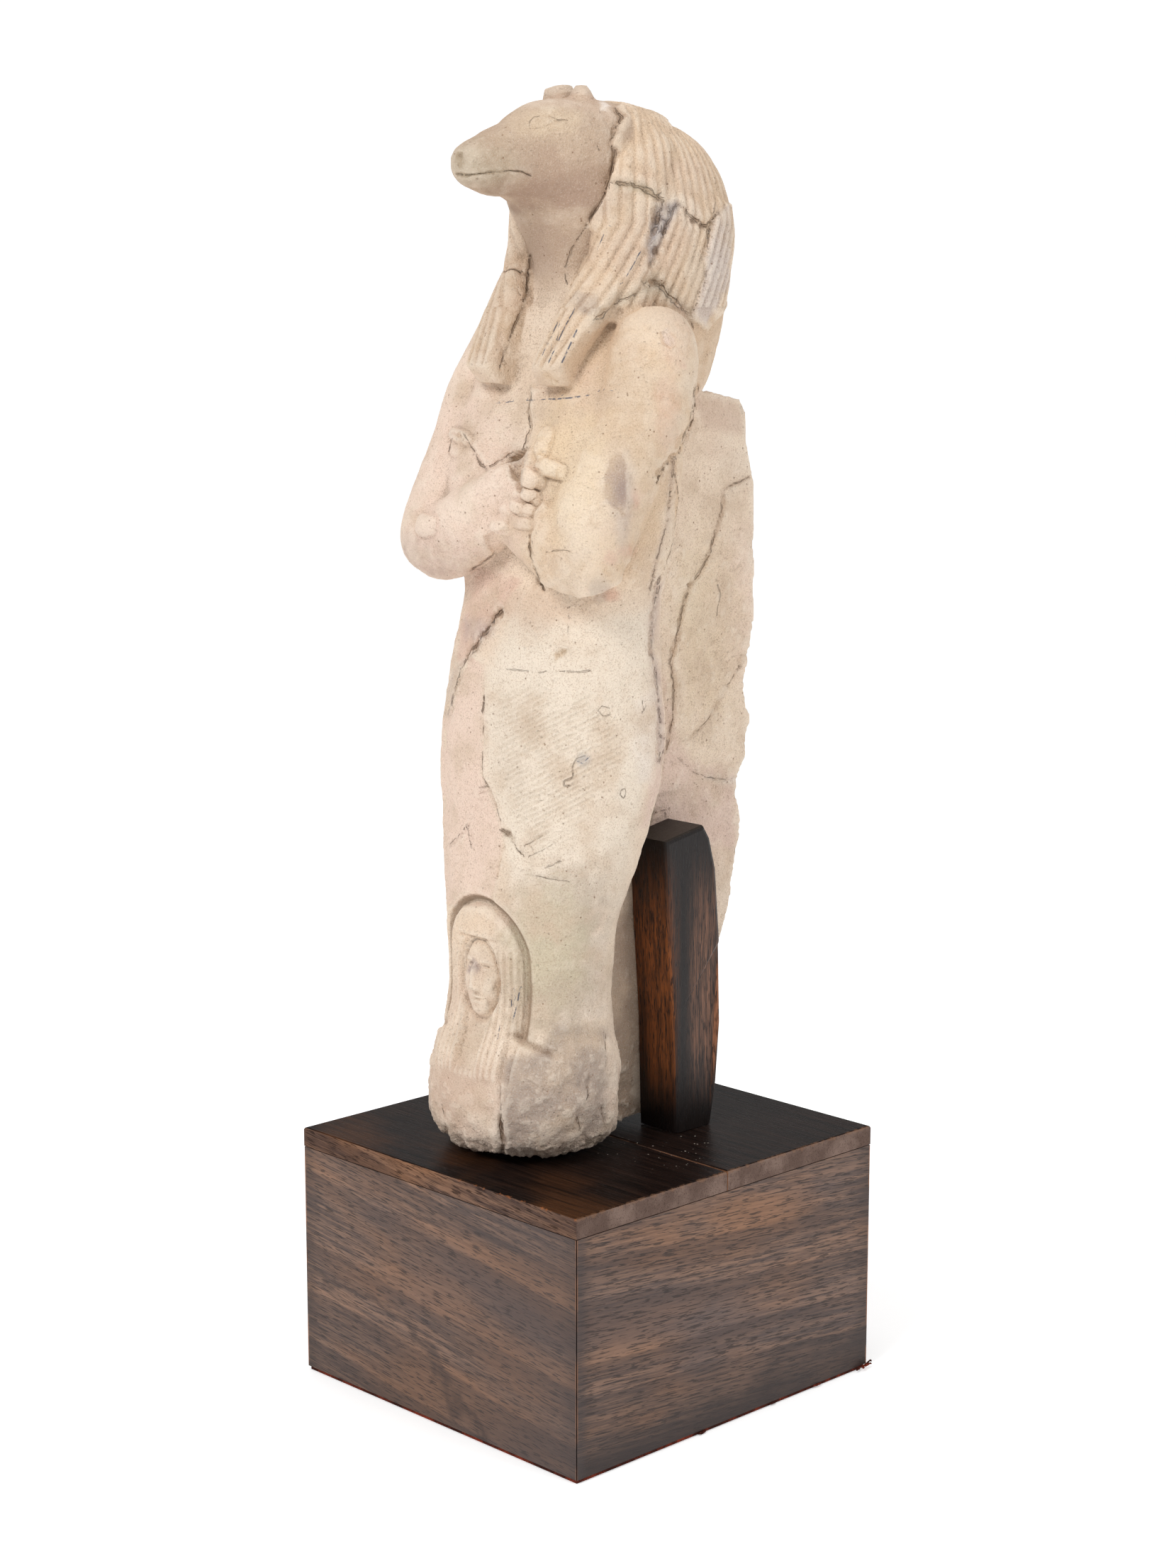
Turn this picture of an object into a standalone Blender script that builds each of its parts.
"""A carved limestone figure with a jackal's head, on a box base of walnut boards, steadied by a wooden post.

The figure faces -Y and its left side is at +X. The origin is the middle of the base's underside.
"""

import math

import bmesh
import bpy
import numpy as np
from mathutils import Quaternion, Vector
from mathutils.bvhtree import BVHTree

# Driving sizes, in metres.
BASE_WIDTH = 0.146
BASE_DEPTH = 0.1526
BASE_HEIGHT = 0.095
TOP_BOARD_THICKNESS = 0.0072
SIDE_BOARD_THICKNESS = 0.009
BOTTOM_BOARD_THICKNESS = 0.006
FELT_THICKNESS = 0.0012
FELT_INSET = 0.0008
TOP_JOINT_SETBACK = 0.002
ARRIS_RADIUS = 0.0008
FIGURE_HEIGHT = 0.377
SLAB_THICKNESS = 0.0225
POST_WIDTH = 0.0185
POST_DEPTH = 0.0185
POST_HEIGHT = 0.114
POST_EDGE_RADIUS = 0.0014
FIT_GAP = 0.0003

# The figure is drawn in units of which its height holds this many, so a unit is about a millimetre.
HEIGHT_IN_UNITS = 377.0
UNIT = FIGURE_HEIGHT / HEIGHT_IN_UNITS
SLAB_HALF = SLAB_THICKNESS / 2 / UNIT
POST_FRONT_Y = 16.6 * UNIT

CARVING_GRAIN = 1.15
FIGURE_TRIANGLES = 9000
STRANDS_AROUND_WIG = 44
STRAND_DEPTH = 0.9


def clear_scene():
    for scene_object in list(bpy.data.objects):
        bpy.data.objects.remove(scene_object, do_unlink=True)


def new_collection(name):
    collection = bpy.data.collections.new(name)
    bpy.context.scene.collection.children.link(collection)
    return collection


def new_material(name, colour, roughness):
    material = bpy.data.materials.new(name)
    material.use_nodes = True
    shader = material.node_tree.nodes["Principled BSDF"]
    shader.inputs["Base Color"].default_value = (*colour, 1.0)
    shader.inputs["Roughness"].default_value = roughness
    shader.inputs["Metallic"].default_value = 0.0
    return material


def add_object(name, mesh, material, collection):
    mesh.name = name
    mesh.materials.clear()
    mesh.materials.append(material)
    new_object = bpy.data.objects.new(name, mesh)
    collection.objects.link(new_object)
    return new_object


def evaluated_mesh(source):
    """The object's mesh with its modifiers applied, as a mesh of its own."""
    bpy.context.view_layer.update()
    depsgraph = bpy.context.evaluated_depsgraph_get()
    return bpy.data.meshes.new_from_object(source.evaluated_get(depsgraph))


def outline_mesh(name, outline, axis, start, end):
    """A closed solid of a flat outline pulled out from start to end: (x, y) along Z, or (y, z) along X."""
    curve = bpy.data.curves.new(name, "CURVE")
    curve.dimensions = "2D"
    curve.fill_mode = "BOTH"
    curve.extrude = (end - start) / 2
    spline = curve.splines.new("POLY")
    spline.points.add(len(outline) - 1)
    for point, (u, v) in zip(spline.points, outline):
        point.co = (u, v, 0.0, 1.0)
    spline.use_cyclic_u = True
    guide = bpy.data.objects.new(name, curve)
    bpy.context.scene.collection.objects.link(guide)
    mesh = evaluated_mesh(guide)
    bpy.data.objects.remove(guide)
    bm = bmesh.new()
    bm.from_mesh(mesh)
    bmesh.ops.remove_doubles(bm, verts=bm.verts, dist=1e-6)
    middle = (start + end) / 2
    for vert in bm.verts:
        u, v, w = vert.co
        vert.co = (u, v, w + middle) if axis == "Z" else (w + middle, u, v)
    bmesh.ops.dissolve_limit(bm, angle_limit=0.01, verts=bm.verts, edges=bm.edges)
    bmesh.ops.recalc_face_normals(bm, faces=bm.faces)
    bm.to_mesh(mesh)
    bm.free()
    return mesh


def blended_rows(rows, steps):
    """The rows with more blended in between them, on a Catmull-Rom curve through them all."""
    rows = np.array(rows, float)
    padded = np.vstack([2 * rows[0] - rows[1], rows, 2 * rows[-1] - rows[-2]])
    blended = []
    for i in range(len(rows) - 1):
        before, start, end, after = padded[i : i + 4]
        for t in np.arange(steps) / steps:
            straight = 2 * start + (end - before) * t
            bend = (2 * before - 5 * start + 4 * end - after) * t**2
            twist = (3 * start - before - 3 * end + after) * t**3
            blended.append((straight + bend + twist) / 2)
    blended.append(rows[-1])
    return np.array(blended)


def add_form(bm, stations, across=(1, 0, 0), facing=None, steps=4, sides=32):
    """A closed form through stations of x, y, z, half width, half depth, squareness and degrees of turn.

    The width runs along across. Every section looks along facing, or along the path if that is None."""
    rows = blended_rows(stations, steps)
    centres = rows[:, :3]
    tangents = np.gradient(centres, axis=0)
    angles = np.arange(sides) * 2 * math.pi / sides
    rings = []
    for row, tangent in zip(rows, tangents):
        normal = Vector(facing if facing else tangent).normalized()
        side = (Vector(across) - normal * normal.dot(Vector(across))).normalized()
        if len(row) > 6:
            side.rotate(Quaternion(normal, math.radians(row[6])))
        up = normal.cross(side)
        wide, deep, power = max(row[3], 0.3), max(row[4], 0.3), max(row[5], 1.6)
        ring = []
        for angle in angles:
            c, s = math.cos(angle), math.sin(angle)
            u = wide * math.copysign(abs(c) ** (2 / power), c)
            v = deep * math.copysign(abs(s) ** (2 / power), s)
            ring.append(bm.verts.new(Vector(row[:3]) + side * u + up * v))
        rings.append(ring)
    for lower, upper in zip(rings, rings[1:]):
        for k in range(sides):
            after = (k + 1) % sides
            bm.faces.new((lower[k], lower[after], upper[after], upper[k]))
    bm.faces.new(list(reversed(rings[0])))
    bm.faces.new(rings[-1])


def mirrored(stations):
    """The same stations on the other side, with any turn the other way round."""
    return [(-row[0], *row[1:6], *(-turn for turn in row[6:])) for row in stations]


# The trunk and the wrapped legs, from the broken foot up: x, y, z, half width, half depth, squareness.
TRUNK = (
    (-7, -25, 0.0, 20, 20, 2.2),
    (-4, -28, 3, 28, 26, 2.3),
    (-1, -31, 9, 33, 29.5, 2.4),
    (0, -32, 20, 34.5, 31, 2.4),
    (0, -31.5, 36, 34, 30, 2.3),
    (0, -30, 48, 31.5, 27.5, 2.2),
    (0, -29, 62, 30.5, 26.5, 2.2),
    (0, -28, 85, 33, 27.5, 2.2),
    (0, -24, 105, 38, 29, 2.2),
    (0, -21, 122, 43, 30, 2.2),
    (0, -18, 148, 46, 31, 2.2),
    (0, -16.5, 172, 43, 30, 2.2),
    (0, -13, 198, 40, 26.5, 2.3),
    (0, -12, 215, 45, 23, 2.7),
    (0, -13, 235, 49, 22.5, 3.0),
    (0, -12.5, 250, 51, 21.5, 3.0),
    (0, -11, 264, 50, 20, 3.0),
    (0, -8, 279, 43, 18, 2.7),
    (0, -5, 292, 32, 17, 2.2),
    (0, -5, 300, 22, 16, 2.0),
)

LEFT_UPPER_ARM = (
    (35, -2, 300, 6, 6, 2),
    (36, -3, 294.5, 12.5, 12.5, 2),
    (37.5, -5.5, 283, 16, 16, 2),
    (39, -11.5, 266, 16.5, 16.5, 2),
    (37.5, -19, 251, 16.5, 16.5, 2),
    (36.5, -27, 238, 16.5, 16.5, 2),
    (37, -34, 225, 15.5, 15.5, 2),
    (39, -36, 214, 13, 13, 2),
    (41, -34.5, 206, 8, 8, 2),
)

RIGHT_UPPER_ARM = (
    (-34, -2, 299, 6, 6, 2),
    (-35.5, -3, 293, 11.5, 11.5, 2),
    (-37, -5.5, 282, 14.5, 14.5, 2),
    (-39, -11.5, 266, 16.5, 16.5, 2),
    (-37.5, -19, 251, 16.5, 16.5, 2),
    (-36.5, -27, 238, 16.5, 16.5, 2),
    (-37, -34, 225, 16, 16, 2),
    (-38, -37, 215, 14.5, 14.5, 2),
    (-39, -37, 208, 9, 9, 2),
)

# The soft stretch between the left arm and the breast.
LEFT_ARMPIT = (
    (22, -4, 292, 8, 8, 2),
    (23, -9, 281, 13, 13, 2),
    (22, -16, 264, 16, 16, 2),
    (19, -23, 249, 16.5, 16.5, 2),
    (19, -28.5, 237, 16.5, 16.5, 2),
    (22, -32, 226, 14, 14, 2),
)

RIGHT_FOREARM = (
    (-44, -37, 215, 9, 9, 2),
    (-38, -38, 217.5, 13.5, 13.5, 2),
    (-24, -40.5, 221, 14, 13, 2),
    (-9, -41, 229.5, 13, 11.5, 2.1),
    (2, -40, 235.5, 12, 10, 2.2),
    (8, -39, 238.5, 11, 9, 2.3),
    (13, -37, 241, 9, 8, 2.4),
)

LEFT_FOREARM = (
    (43, -34, 211, 9, 9, 2),
    (38, -36, 215.5, 13.5, 13.5, 2),
    (26, -37.5, 221, 16, 12.5, 2.1),
    (9, -36, 227, 14, 10.5, 2.1),
    (-8, -33, 236, 11, 9, 2.1),
    (-18, -28.5, 244, 9.5, 7, 2.2),
    (-24, -26, 249, 6, 5, 2.2),
)

NECK = (
    (0, -1, 282, 26, 20, 2.2),
    (0, 0.5, 298, 20, 17.5, 2.1),
    (0, 0.5, 311, 19, 18.5, 2.1),
    (0, -1.5, 323, 20.5, 20, 2.1),
    (0, -5.5, 334, 22, 23.5, 2.1),
    (0, -8.5, 344, 22, 24.5, 2.1),
)

# The head, from inside the wig out to the nose: x, y, z, half width, half height, squareness.
HEAD = (
    (0, 16, 350, 22, 19, 2.2),
    (0, 0, 351.5, 24, 20.5, 2.3),
    (0, -14, 352.2, 23, 20.3, 2.3),
    (0, -25, 352, 20.5, 19.8, 2.3),
    (0, -32, 352.2, 17, 16.8, 2.2),
    (0, -36, 350.9, 14.6, 13.5, 2.1),
    (0, -40, 349.6, 12.8, 11.3, 2.1),
    (0, -45, 348.2, 11.3, 9.8, 2.2),
    (0, -51, 348.2, 9.2, 8.0, 2.2),
    (0, -56, 348.5, 7.6, 6.8, 2.3),
    (0, -58.8, 349, 6.0, 5.2, 2.4),
    (0, -60.2, 349.5, 3.8, 3.0, 2.2),
)

# The wig over the crown and down the back: x, y, z, half width, half depth, squareness.
WIG = (
    (0, 22, 264, 20, 19, 2.2),
    (0, 21, 274, 27, 26, 2.3),
    (0, 20, 292, 32.5, 31.5, 2.3),
    (0, 20, 312, 34.5, 34.5, 2.3),
    (0, 20.5, 326, 34, 36, 2.4),
    (0, 20, 338, 33, 34.8, 2.4),
    (0, 18.5, 350, 29.8, 31, 2.4),
    (0, 16.5, 360, 23.5, 24, 2.3),
    (0, 11.5, 367.5, 12, 12.5, 2.2),
    (0, 10, 372, 4, 5, 2),
)
WIG_BREAK_HEIGHT = 330.0
WIG_AXIS_Y = 20.0
STRAND_SLANT = 0.011

LEFT_LAPPET = (
    (21, -4, 326, 7, 6, 2.4, 50),
    (20, -10, 315, 9, 8, 2.6, 42),
    (19.5, -17.5, 302, 9.5, 9, 2.8, 26),
    (17.5, -26.5, 289, 8.2, 8, 3.2, 10),
    (15.6, -32, 277.5, 6.8, 7, 3.8, 2),
)

# The wig's side, from its front edge back to where it runs into the crown.
LEFT_WIG_SIDE = (
    (12, 9, 364, 9, 9, 2.4, 50),
    (21, 6, 355, 12, 7.5, 2.4, 72),
    (23.5, 0, 338, 13, 7, 2.4, 71),
    (23.5, -5, 321, 12.5, 7, 2.4, 69),
    (23, -8.5, 308, 13, 8, 2.4, 62),
    (22, -9, 296, 13, 9, 2.4, 58),
)
STRAND_WIDTH_ON_LAPPET = 4.4
LAPPET_BREAK_HEIGHT = 301.0

# The back slab's broken outline, seen from its left: y, z.
SLAB_OUTLINE = (
    (-14, 272), (44, 271), (68, 267), (71.5, 262), (72, 250), (75.5, 238), (76.2, 222), (75.9, 200), (76.2, 186),
    (72, 171), (71.8, 158), (73.8, 146), (73, 132), (67.2, 125), (70.8, 103), (66, 88), (63.6, 74), (57, 58),
    (49, 42), (40, 24), (30, 10), (18, 3), (-20, 3),
)

# The right fist's thumb and fingers, each as the place of its middle, half its length and its thickness.
FINGERS = (
    ((21.5, -40, 247.5), 5.5, 3.6),
    ((15.5, -44.5, 243.5), 5, 3.5),
    ((16, -44.5, 237.5), 4.5, 3.3),
    ((13, -46, 232.5), 5.5, 3.6),
    ((9.5, -47, 227), 5, 3.3),
)

RELIEF_TOP = 94.5
RELIEF_HALF_WIDTH = 20.0
RELIEF_SHOULDER = 47.0
RELIEF_FACE = (66.5, 9.6, 14.0)
RELIEF_FRINGE = 81.5
FOOT_NOTCHES = ((12, 17), (-22, 9))


def add_both(bm, stations, **settings):
    add_form(bm, stations, **settings)
    add_form(bm, mirrored(stations), **settings)


def add_trunk_and_arms(bm):
    add_form(bm, TRUNK, facing=(0, 0, 1))
    add_form(bm, LEFT_UPPER_ARM)
    add_form(bm, RIGHT_UPPER_ARM)
    add_both(bm, LEFT_ARMPIT)
    add_form(bm, RIGHT_FOREARM, across=(0, -0.4, 1))
    add_form(bm, LEFT_FOREARM, across=(0, -0.4, 1))


def add_head(bm):
    add_form(bm, NECK, facing=(0, 0, 1))
    add_form(bm, HEAD, facing=(0, -1, 0))
    left_ear = ((4.5, -7.5, 366, 5.5, 5, 2), (4.5, -7.5, 372, 4.4, 4.2, 2.4), (4.5, -7.5, 376.6, 2, 2, 2.4))
    right_ear = ((-7, -7, 366, 6, 6, 2), (-7, -7, 373, 5.6, 5, 2.6), (-7.5, -7, 376.5, 4.8, 4, 2.6))
    add_form(bm, left_ear)
    add_form(bm, right_ear)


def add_wig(bm):
    add_form(bm, WIG, facing=(0, 0, 1), sides=48)
    add_both(bm, LEFT_WIG_SIDE, facing=(0, 0, 1))
    add_both(bm, LEFT_LAPPET, facing=(0, 0, 1))


def add_hands(bm):
    """The ends of the fingers, and the broken ends of what the two fists held."""
    for (x, y, z), reach, thickness in FINGERS:
        finger = (
            (x - reach, y + 1, z - 0.5, thickness * 0.8, thickness * 0.8, 2),
            (x - reach * 0.6, y - 1, z, thickness, thickness, 2),
            (x + reach * 0.4, y, z, thickness, thickness, 2),
            (x + reach, y + 3, z, thickness * 0.6, thickness * 0.6, 2),
        )
        add_form(bm, finger, across=(0, 0, 1))
    handle_end = ((15, -40, 246, 3.6, 3.6, 2.3), (19, -36, 255, 3.4, 3.4, 2.3), (21.5, -33.5, 261, 2.4, 2.2, 2.2))
    add_form(bm, handle_end)
    sceptre_end = ((-22, -34, 247, 3.4, 3.6, 2.2), (-25, -34, 255, 4.4, 4.4, 2.6), (-27, -33, 260, 3.4, 3.4, 2.4))
    add_form(bm, sceptre_end)
    sceptre_stub = ((-36, -44, 217, 2.6, 3, 2.4), (-37, -47, 221, 3.4, 3.6, 2.6), (-38, -44, 225, 2.6, 3, 2.4))
    add_form(bm, sceptre_stub)


def smooth_step(value, start, end):
    t = np.clip((value - start) / (end - start), 0, 1)
    return t * t * (3 - 2 * t)


def mound(distance, width):
    return np.exp(-((distance / width) ** 2))


def relief_depth(x, z):
    """How deep the small wigged head on the legs is cut in, at each place on their front."""
    away = np.hypot(x, np.maximum(z - (RELIEF_TOP - RELIEF_HALF_WIDTH), 0)) - RELIEF_HALF_WIDTH
    above_shoulder = smooth_step(z, RELIEF_SHOULDER - 4, RELIEF_SHOULDER + 2)
    depth = 2.8 * mound(away - 0.5, 1.9) * above_shoulder
    shoulder_line = z - (RELIEF_SHOULDER - 0.5 * (abs(x) - 20))
    on_shoulder = smooth_step(abs(x), 17, 20) * (1 - smooth_step(abs(x), 26, 30))
    depth += 2.2 * mound(shoulder_line, 1.8) * on_shoulder
    inside = 1 - smooth_step(away, -4, 0)
    middle, half_width, half_height = RELIEF_FACE
    face = np.hypot(x / half_width, (z - middle) / half_height)
    below_fringe = 1 - smooth_step(z, RELIEF_FRINGE - 1, RELIEF_FRINGE + 1)
    around_face = smooth_step(face, 0.85, 1.1) * (1 - smooth_step(face, 1.15, 1.5)) * below_fringe
    depth += inside * below_fringe * (1.2 * around_face + 1.5 * np.minimum(face, 1.0) ** 2)
    lappet = mound(abs(x) - 11.5, 4.5) * (1 - smooth_step(z, 66, 74)) * smooth_step(z, 28, 33)
    throat = mound(x, 8) * smooth_step(z, 36, 44) * (1 - smooth_step(z, 54, 60))
    return depth + 2.4 * throat - 1.8 * lappet * (1 - smooth_step(abs(x), 15, 20))


def distance_to(add_forms, points):
    """How far each point is from the surface of the forms that add_forms makes."""
    bm = bmesh.new()
    add_forms(bm)
    tree = BVHTree.FromBMesh(bm)
    bm.free()
    return np.array([tree.find_nearest(point)[3] for point in points])


def strand_depth(x, y, z):
    """The wig's strands: down from the crown, then slanting toward the chest, and along the lappets."""
    around = np.arctan2(abs(x), WIG_AXIS_Y - y) - STRAND_SLANT * np.minimum(z - WIG_BREAK_HEIGHT, 0)
    on_wig = around * STRANDS_AROUND_WIG / math.tau
    on_lappet = (abs(x) - 0.25 * (z - 278)) / STRAND_WIDTH_ON_LAPPET
    strand = np.where(z > LAPPET_BREAK_HEIGHT, on_wig, on_lappet)
    return STRAND_DEPTH * abs(np.cos(math.pi * strand)) ** 5


def carved_depth(points, normals):
    """How far in from its smooth form each place on the figure is cut."""
    x, y, z = points.T
    from_wig = distance_to(add_wig, points)
    from_skin = np.minimum(distance_to(add_head, points), distance_to(add_trunk_and_arms, points))
    wig = (1 - smooth_step(from_wig, 0.6, 1.4)) * smooth_step(from_skin, 0.3, 1.2)
    flat_end = smooth_step(-normals[:, 2], 0.6, 0.8)
    front = smooth_step(-normals[:, 1], 0.15, 0.5) * (y < -30) * (z < 104)
    depth = relief_depth(x, z) * front + strand_depth(x, y, z) * wig * (1 - flat_end)
    for place, top in FOOT_NOTCHES:
        depth += 3.5 * mound(x - place, 1.8) * (1 - smooth_step(z, top - 6, top)) * front
    return depth


def lapped_forms():
    """Every form of the carving in one mesh, lapping where one grows out of another."""
    bm = bmesh.new()
    add_trunk_and_arms(bm)
    add_head(bm)
    add_wig(bm)
    add_hands(bm)
    bmesh.ops.recalc_face_normals(bm, faces=bm.faces)
    bm.from_mesh(outline_mesh("slab", SLAB_OUTLINE, "X", -SLAB_HALF, SLAB_HALF))
    mesh = bpy.data.meshes.new("lapped_forms")
    bm.to_mesh(mesh)
    bm.free()
    return mesh


def keep_largest_shell(bm):
    """Drops the small pockets that are closed off where forms meet."""
    unseen = set(bm.verts)
    largest = set()
    while unseen:
        start = unseen.pop()
        shell = {start}
        front = [start]
        while front:
            vert = front.pop()
            for link in vert.link_edges:
                other = link.other_vert(vert)
                if other in unseen:
                    unseen.discard(other)
                    shell.add(other)
                    front.append(other)
        if len(shell) > len(largest):
            largest = shell
    bmesh.ops.delete(bm, geom=[vert for vert in bm.verts if vert not in largest], context="VERTS")


def build_figure(material, collection):
    forms = add_object("lapped_forms", lapped_forms(), material, collection)
    skin = forms.modifiers.new("one_skin", "REMESH")
    skin.mode = "VOXEL"
    skin.voxel_size = CARVING_GRAIN
    wear = forms.modifiers.new("wear", "SMOOTH")
    wear.factor = 0.5
    wear.iterations = 3
    mesh = evaluated_mesh(forms)
    bpy.data.objects.remove(forms)
    points = np.array([vertex.co for vertex in mesh.vertices])
    normals = np.array([vertex.normal for vertex in mesh.vertices])
    points -= normals * carved_depth(points, normals)[:, None]
    mesh.vertices.foreach_set("co", points.ravel())
    bm = bmesh.new()
    bm.from_mesh(mesh)
    keep_largest_shell(bm)
    foot = BASE_HEIGHT + FIT_GAP
    for vert in bm.verts:
        x, y, z = vert.co
        if y > 10 and z < (POST_HEIGHT + 0.01) / UNIT:
            x = min(max(x, -SLAB_HALF), SLAB_HALF)
        vert.co = (x * UNIT, y * UNIT, max(z, 0) * UNIT + foot)
    bmesh.ops.triangulate(bm, faces=bm.faces)
    triangles = len(bm.faces)
    bm.to_mesh(mesh)
    bm.free()
    figure = add_object("figure", mesh, material, collection)
    facets = figure.modifiers.new("facets", "DECIMATE")
    facets.ratio = FIGURE_TRIANGLES / triangles


def round_edges(board, radius, is_rounded):
    """Rounds the edges that is_rounded picks by the places of their two ends."""
    weights = board.data.attributes.new("bevel_weight_edge", "FLOAT", "EDGE")
    for edge in board.data.edges:
        start, end = (board.data.vertices[i].co for i in edge.vertices)
        weights.data[edge.index].value = 1.0 if is_rounded(start, end) else 0.0
    bevel = board.modifiers.new("rounded", "BEVEL")
    bevel.limit_method = "WEIGHT"
    bevel.width = radius
    bevel.segments = 2


def rectangle(x_start, x_end, y_start, y_end):
    return ((x_start, y_start), (x_end, y_start), (x_end, y_end), (x_start, y_end))


def build_post(material, collection):
    """The bowed wooden post that stands on the base against the slab's left face."""
    foot = BASE_HEIGHT + FIT_GAP
    inner_x = SLAB_THICKNESS / 2 + FIT_GAP
    outer_x = inner_x + POST_WIDTH
    back_y = POST_FRONT_Y + POST_DEPTH
    side_view = (
        (POST_FRONT_Y, 0),
        (back_y, 0),
        (back_y + 0.15 * POST_DEPTH, 0.14 * POST_HEIGHT),
        (back_y + 0.25 * POST_DEPTH, 0.34 * POST_HEIGHT),
        (back_y + 0.24 * POST_DEPTH, 0.6 * POST_HEIGHT),
        (back_y + 0.1 * POST_DEPTH, 0.85 * POST_HEIGHT),
        (back_y - 0.08 * POST_DEPTH, 0.955 * POST_HEIGHT),
        (back_y - 0.26 * POST_DEPTH, POST_HEIGHT),
        (POST_FRONT_Y - 0.33 * POST_DEPTH, 0.97 * POST_HEIGHT),
        (POST_FRONT_Y - 0.23 * POST_DEPTH, 0.7 * POST_HEIGHT),
        (POST_FRONT_Y - 0.07 * POST_DEPTH, 0.38 * POST_HEIGHT),
    )
    outline = [(y, foot + z) for y, z in side_view]
    post = add_object("support_post", outline_mesh("post", outline, "X", inner_x, outer_x), material, collection)

    def is_outer_arris(start, end):
        return min(start.x, end.x) > outer_x - 1e-5 and max(start.z, end.z) > foot + 1e-5

    round_edges(post, POST_EDGE_RADIUS, is_outer_arris)


def build_walls(material, collection):
    """Four upright boards, mitred at the corners."""
    half_width = BASE_WIDTH / 2
    half_depth = BASE_DEPTH / 2
    inner_width = half_width - SIDE_BOARD_THICKNESS
    inner_depth = half_depth - SIDE_BOARD_THICKNESS
    clear = FIT_GAP * math.sqrt(0.5)
    foot = FELT_THICKNESS + FIT_GAP
    top = BASE_HEIGHT - TOP_BOARD_THICKNESS - FIT_GAP
    for name, side in (("base_front_board", -1), ("base_back_board", 1)):
        outline = (
            (clear - half_width, side * half_depth),
            (half_width - clear, side * half_depth),
            (inner_width - clear, side * inner_depth),
            (clear - inner_width, side * inner_depth),
        )
        add_object(name, outline_mesh(name, outline, "Z", foot, top), material, collection)
    for name, side in (("base_left_board", 1), ("base_right_board", -1)):
        outline = (
            (side * half_width, clear - half_depth),
            (side * half_width, half_depth - clear),
            (side * inner_width, inner_depth - clear),
            (side * inner_width, clear - inner_depth),
        )
        add_object(name, outline_mesh(name, outline, "Z", foot, top), material, collection)


def build_top(material, collection):
    """Two boards, glued edge to edge along X, that lid the box."""
    half_width = BASE_WIDTH / 2
    half_depth = BASE_DEPTH / 2
    underside = BASE_HEIGHT - TOP_BOARD_THICKNESS

    def is_outer_arris(start, end):
        on_side = abs(start.x) > half_width - 1e-5 and abs(end.x) > half_width - 1e-5
        on_end = abs(start.y) > half_depth - 1e-5 and abs(end.y) > half_depth - 1e-5
        at_top = min(start.z, end.z) > BASE_HEIGHT - 1e-5
        return at_top and (on_side or on_end)

    for name, y_start, y_end in (
        ("base_top_front_board", -half_depth, -TOP_JOINT_SETBACK - FIT_GAP / 2),
        ("base_top_rear_board", -TOP_JOINT_SETBACK + FIT_GAP / 2, half_depth),
    ):
        outline = rectangle(-half_width, half_width, y_start, y_end)
        mesh = outline_mesh(name, outline, "Z", underside, BASE_HEIGHT)
        board = add_object(name, mesh, material, collection)
        round_edges(board, ARRIS_RADIUS, is_outer_arris)


def build_bottom(material, collection):
    half_width = BASE_WIDTH / 2 - SIDE_BOARD_THICKNESS - FIT_GAP
    half_depth = BASE_DEPTH / 2 - SIDE_BOARD_THICKNESS - FIT_GAP
    foot = FELT_THICKNESS + FIT_GAP
    outline = rectangle(-half_width, half_width, -half_depth, half_depth)
    mesh = outline_mesh("bottom", outline, "Z", foot, foot + BOTTOM_BOARD_THICKNESS)
    add_object("base_bottom_board", mesh, material, collection)


def build_felt(material, collection):
    half_width = BASE_WIDTH / 2 - FELT_INSET
    half_depth = BASE_DEPTH / 2 - FELT_INSET
    outline = rectangle(-half_width, half_width, -half_depth, half_depth)
    add_object("felt_pad", outline_mesh("felt", outline, "Z", 0.0, FELT_THICKNESS), material, collection)


def main():
    clear_scene()
    collection = new_collection("jackal_headed_figure_on_base")
    limestone = new_material("painted_limestone", (0.72, 0.60, 0.49), 0.85)
    walnut = new_material("walnut", (0.16, 0.095, 0.065), 0.45)
    dark_walnut = new_material("dark_stained_walnut", (0.022, 0.014, 0.011), 0.35)
    red_felt = new_material("red_felt", (0.30, 0.07, 0.04), 0.95)
    build_figure(limestone, collection)
    build_post(dark_walnut, collection)
    build_top(dark_walnut, collection)
    build_walls(walnut, collection)
    build_bottom(walnut, collection)
    build_felt(red_felt, collection)


main()
